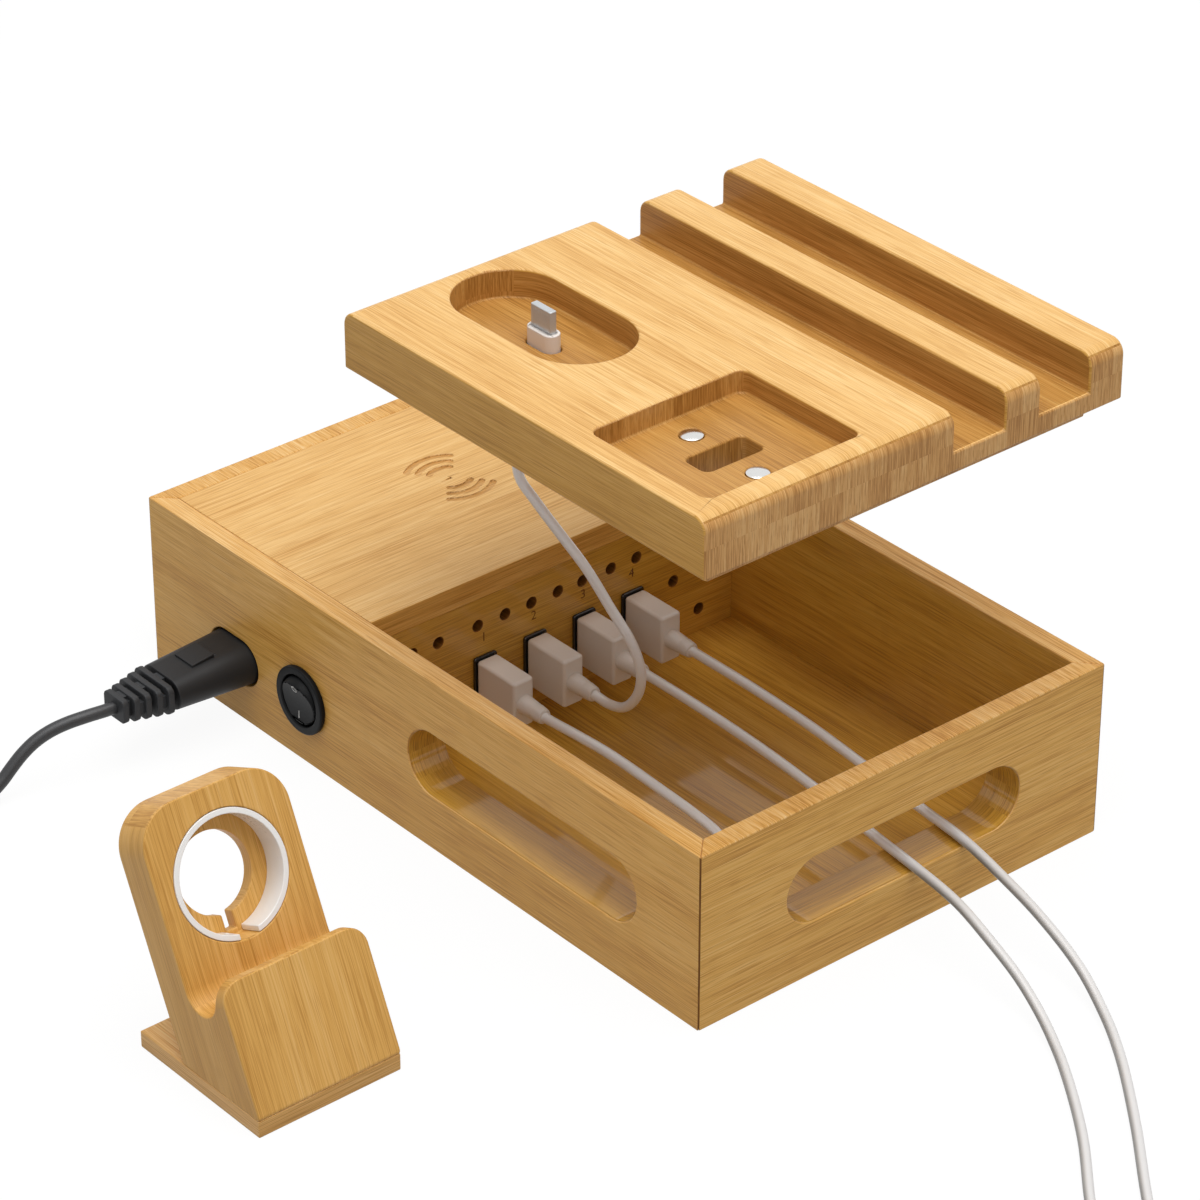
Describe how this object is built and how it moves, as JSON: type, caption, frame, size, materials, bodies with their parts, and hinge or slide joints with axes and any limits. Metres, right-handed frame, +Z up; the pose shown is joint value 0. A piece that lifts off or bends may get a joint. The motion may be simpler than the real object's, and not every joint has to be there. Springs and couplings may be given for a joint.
{
  "type": "charging station organizer",
  "caption": "Bamboo charging station organizer: box with ports, vents and cable openings, wireless charging deck, slotted lift-off lid with phone connector, and a separate watch stand.",
  "frame": {"origin": "middle of the box's underside, on the table that it stands on; the watch stand and the leads are beside the box and don't move the origin", "axes": "+X to the right along the box's length, from the electronics end to the cable bay; +Y to the back; +Z up"},
  "size_m": [0.5044, 0.3614, 0.175],
  "materials": {
    "bamboo": "satin clear varnish over laminated bamboo",
    "bamboo_strip": "satin clear varnish, glued strips",
    "black_plastic": "fine matt texture",
    "black_gloss": "smooth semi-gloss",
    "black_cord": "soft matt sheath",
    "pearl_plastic": "smooth satin",
    "pearl_cord": "soft satin sheath",
    "steel": "nickel plated",
    "circuit_board": "solder mask",
    "copper": "bare wire and tape",
    "ferrite": "sintered",
    "white_plastic": "smooth, semi-gloss"
  },
  "bodies": {
    "base": {"base_floor": "bamboo", "front_wall": "bamboo", "back_wall": "bamboo", "left_wall": "bamboo", "right_wall": "bamboo", "port_panel": "bamboo", "charging_deck": "bamboo", "deck_battens": "bamboo_strip", "inlet_socket": "black_plastic", "inlet_pins": "steel", "switch_housing": "black_plastic", "switch_terminals": "steel", "power_board": "circuit_board", "transformer": "copper", "capacitors": "black_plastic", "board_posts": "pearl_plastic", "board_screws": "steel", "port_board": "circuit_board", "port_sockets": "steel", "port_bezels": "black_plastic", "charging_coil": "copper", "coil_shield": "ferrite", "coil_board": "circuit_board", "mains_wires": "black_plastic", "coil_wires": "copper", "port_plug_2": "pearl_plastic", "plug_shell_2": "steel", "dock_lead_run": "pearl_cord"},
    "lid": {"lid_panel": "bamboo", "lid_locating_frame": "bamboo_strip", "dock_connector": "pearl_plastic", "dock_tab": "steel", "dock_clip": "pearl_plastic", "lid_magnets": "steel"},
    "rocker": {"switch_rocker": "black_gloss"},
    "watch_stand": {"stand_body": "bamboo", "stand_foot": "bamboo", "stand_ring": "white_plastic"},
    "power_lead": {"power_plug": "black_plastic", "power_strain_relief": "black_plastic", "power_cord_run": "black_cord", "power_cord_coil": "black_cord", "wall_plug": "black_plastic", "wall_plug_blades": "steel"},
    "lead_1": {"port_plug_1": "pearl_plastic", "plug_shell_1": "steel", "lead_1_run": "pearl_cord", "lead_1_connector": "pearl_plastic"},
    "lead_3": {"port_plug_3": "pearl_plastic", "plug_shell_3": "steel", "lead_3_run": "pearl_cord", "lead_3_coil": "pearl_cord", "lead_3_connector": "pearl_plastic"},
    "lead_4": {"port_plug_4": "pearl_plastic", "plug_shell_4": "steel", "lead_4_run": "pearl_cord", "lead_4_coil": "pearl_cord", "lead_4_connector": "pearl_plastic"}
  },
  "joints": [
    {"name": "lid_lift", "type": "slide", "parent": "base", "child": "lid", "axis": [0, 0, 1], "range_m": [-0.0898, 0], "deforming": ["dock_lead_run"]},
    {"name": "switch_rock", "type": "hinge", "parent": "base", "child": "rocker", "pos_m": [-0.0535, -0.079, 0.0228], "axis": [1, 0, 0], "range_deg": [-16, 0]},
    {"name": "stand_lift", "type": "slide", "parent": "base", "child": "watch_stand", "axis": [0, 0, 1], "range_m": [0, 0.1]},
    {"name": "power_plug_pull", "type": "slide", "parent": "base", "child": "power_lead", "axis": [0, -1, 0], "range_m": [0, 0.014]},
    {"name": "lead_1_pull", "type": "slide", "parent": "base", "child": "lead_1", "axis": [1, 0, 0], "range_m": [0, 0.012]},
    {"name": "lead_3_pull", "type": "slide", "parent": "base", "child": "lead_3", "axis": [1, 0, 0], "range_m": [0, 0.014]},
    {"name": "lead_4_pull", "type": "slide", "parent": "base", "child": "lead_4", "axis": [1, 0, 0], "range_m": [0, 0.014]}
  ]
}
